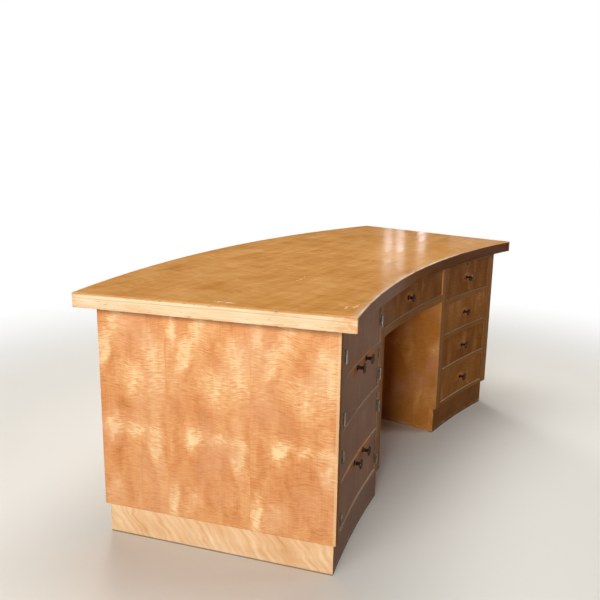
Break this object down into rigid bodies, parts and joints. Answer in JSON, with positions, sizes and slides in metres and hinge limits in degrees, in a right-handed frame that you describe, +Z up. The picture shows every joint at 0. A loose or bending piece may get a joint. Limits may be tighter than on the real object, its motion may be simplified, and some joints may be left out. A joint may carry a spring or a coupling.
{
  "type": "curved pedestal desk",
  "caption": "Curved pedestal desk with a thick arched top, a door pedestal on the user's left, a drawer pedestal on the right and a drawer over the kneehole.",
  "frame": {"origin": "on the floor, under the middle of the box that holds the desk", "axes": "+X to the user's right, +Y away from the user towards the convex back, +Z up"},
  "size_m": [1.964, 0.9266, 0.75],
  "materials": {
    "top_veneer": "satin",
    "edge_lipping": "satin",
    "panel_veneer": "satin",
    "plinth_veneer": "satin",
    "front_veneer": "satin",
    "frame_wood": "satin",
    "inner_wood": "matte",
    "dark_metal": "dark patina",
    "fitting_steel": "satin"
  },
  "bodies": {
    "desk": {"top_cleats": "inner_wood", "top_screws": "fitting_steel", "top_core": "top_veneer", "top_end_lippings": "edge_lipping", "top_long_lippings": "edge_lipping", "left_end_panel": "panel_veneer", "left_kneehole_panel": "panel_veneer", "left_bottom_board": "inner_wood", "left_plinth": "plinth_veneer", "right_end_panel": "panel_veneer", "right_kneehole_panel": "panel_veneer", "right_bottom_board": "inner_wood", "right_plinth": "plinth_veneer", "left_stiles": "frame_wood", "left_rails": "frame_wood", "right_stiles": "frame_wood", "right_rails": "frame_wood", "centre_rails": "frame_wood", "centre_runners": "inner_wood", "back_panel": "panel_veneer", "drawer_runners": "inner_wood", "cupboard_divider": "inner_wood", "cupboard_shelves": "inner_wood", "shelf_battens": "inner_wood", "door_stops": "inner_wood", "hinge_frame_leaves": "fitting_steel", "hinge_pins": "fitting_steel"},
    "upper_outer_door": {"upper_outer_door_panel": "front_veneer", "upper_outer_door_rail": "frame_wood", "upper_outer_door_knob": "dark_metal", "upper_outer_door_hinge_leaves": "fitting_steel"},
    "upper_inner_door": {"upper_inner_door_panel": "front_veneer", "upper_inner_door_rail": "frame_wood", "upper_inner_door_knob": "dark_metal", "upper_inner_door_hinge_leaves": "fitting_steel"},
    "lower_outer_door": {"lower_outer_door_panel": "front_veneer", "lower_outer_door_rail": "frame_wood", "lower_outer_door_knob": "dark_metal", "lower_outer_door_hinge_leaves": "fitting_steel"},
    "lower_inner_door": {"lower_inner_door_panel": "front_veneer", "lower_inner_door_rail": "frame_wood", "lower_inner_door_knob": "dark_metal", "lower_inner_door_hinge_leaves": "fitting_steel"},
    "drawer_1": {"drawer_1_front": "front_veneer", "drawer_1_box": "inner_wood", "drawer_1_knob": "dark_metal", "drawer_1_lock": "fitting_steel", "drawer_1_keyhole_plate": "dark_metal"},
    "drawer_2": {"drawer_2_front": "front_veneer", "drawer_2_box": "inner_wood", "drawer_2_knob": "dark_metal"},
    "drawer_3": {"drawer_3_front": "front_veneer", "drawer_3_box": "inner_wood", "drawer_3_knob": "dark_metal"},
    "drawer_4": {"drawer_4_front": "front_veneer", "drawer_4_box": "inner_wood", "drawer_4_knob": "dark_metal"},
    "centre_drawer": {"centre_drawer_front": "front_veneer", "centre_drawer_box": "inner_wood", "centre_drawer_knob": "dark_metal"}
  },
  "joints": [
    {"name": "upper_outer_door_hinge", "type": "hinge", "parent": "desk", "child": "upper_outer_door", "pos_m": [-0.71958, -0.39962, 0.4], "axis": [0, 0, -1], "range_deg": [0, 110]},
    {"name": "upper_inner_door_hinge", "type": "hinge", "parent": "desk", "child": "upper_inner_door", "pos_m": [-0.33763, -0.33742, 0.4], "axis": [0, 0, 1], "range_deg": [0, 90]},
    {"name": "lower_outer_door_hinge", "type": "hinge", "parent": "desk", "child": "lower_outer_door", "pos_m": [-0.71958, -0.39962, 0.4], "axis": [0, 0, -1], "range_deg": [0, 110]},
    {"name": "lower_inner_door_hinge", "type": "hinge", "parent": "desk", "child": "lower_inner_door", "pos_m": [-0.33763, -0.33742, 0.4], "axis": [0, 0, 1], "range_deg": [0, 90]},
    {"name": "drawer_1_slide", "type": "slide", "parent": "desk", "child": "drawer_1", "axis": [-0.0889, -0.996, 0], "range_m": [0, 0.38]},
    {"name": "drawer_2_slide", "type": "slide", "parent": "desk", "child": "drawer_2", "axis": [-0.0889, -0.996, 0], "range_m": [0, 0.38]},
    {"name": "drawer_3_slide", "type": "slide", "parent": "desk", "child": "drawer_3", "axis": [-0.0889, -0.996, 0], "range_m": [0, 0.38]},
    {"name": "drawer_4_slide", "type": "slide", "parent": "desk", "child": "drawer_4", "axis": [-0.0889, -0.996, 0], "range_m": [0, 0.38]},
    {"name": "centre_drawer_slide", "type": "slide", "parent": "desk", "child": "centre_drawer", "axis": [0, -1, 0], "range_m": [0, 0.36]}
  ]
}
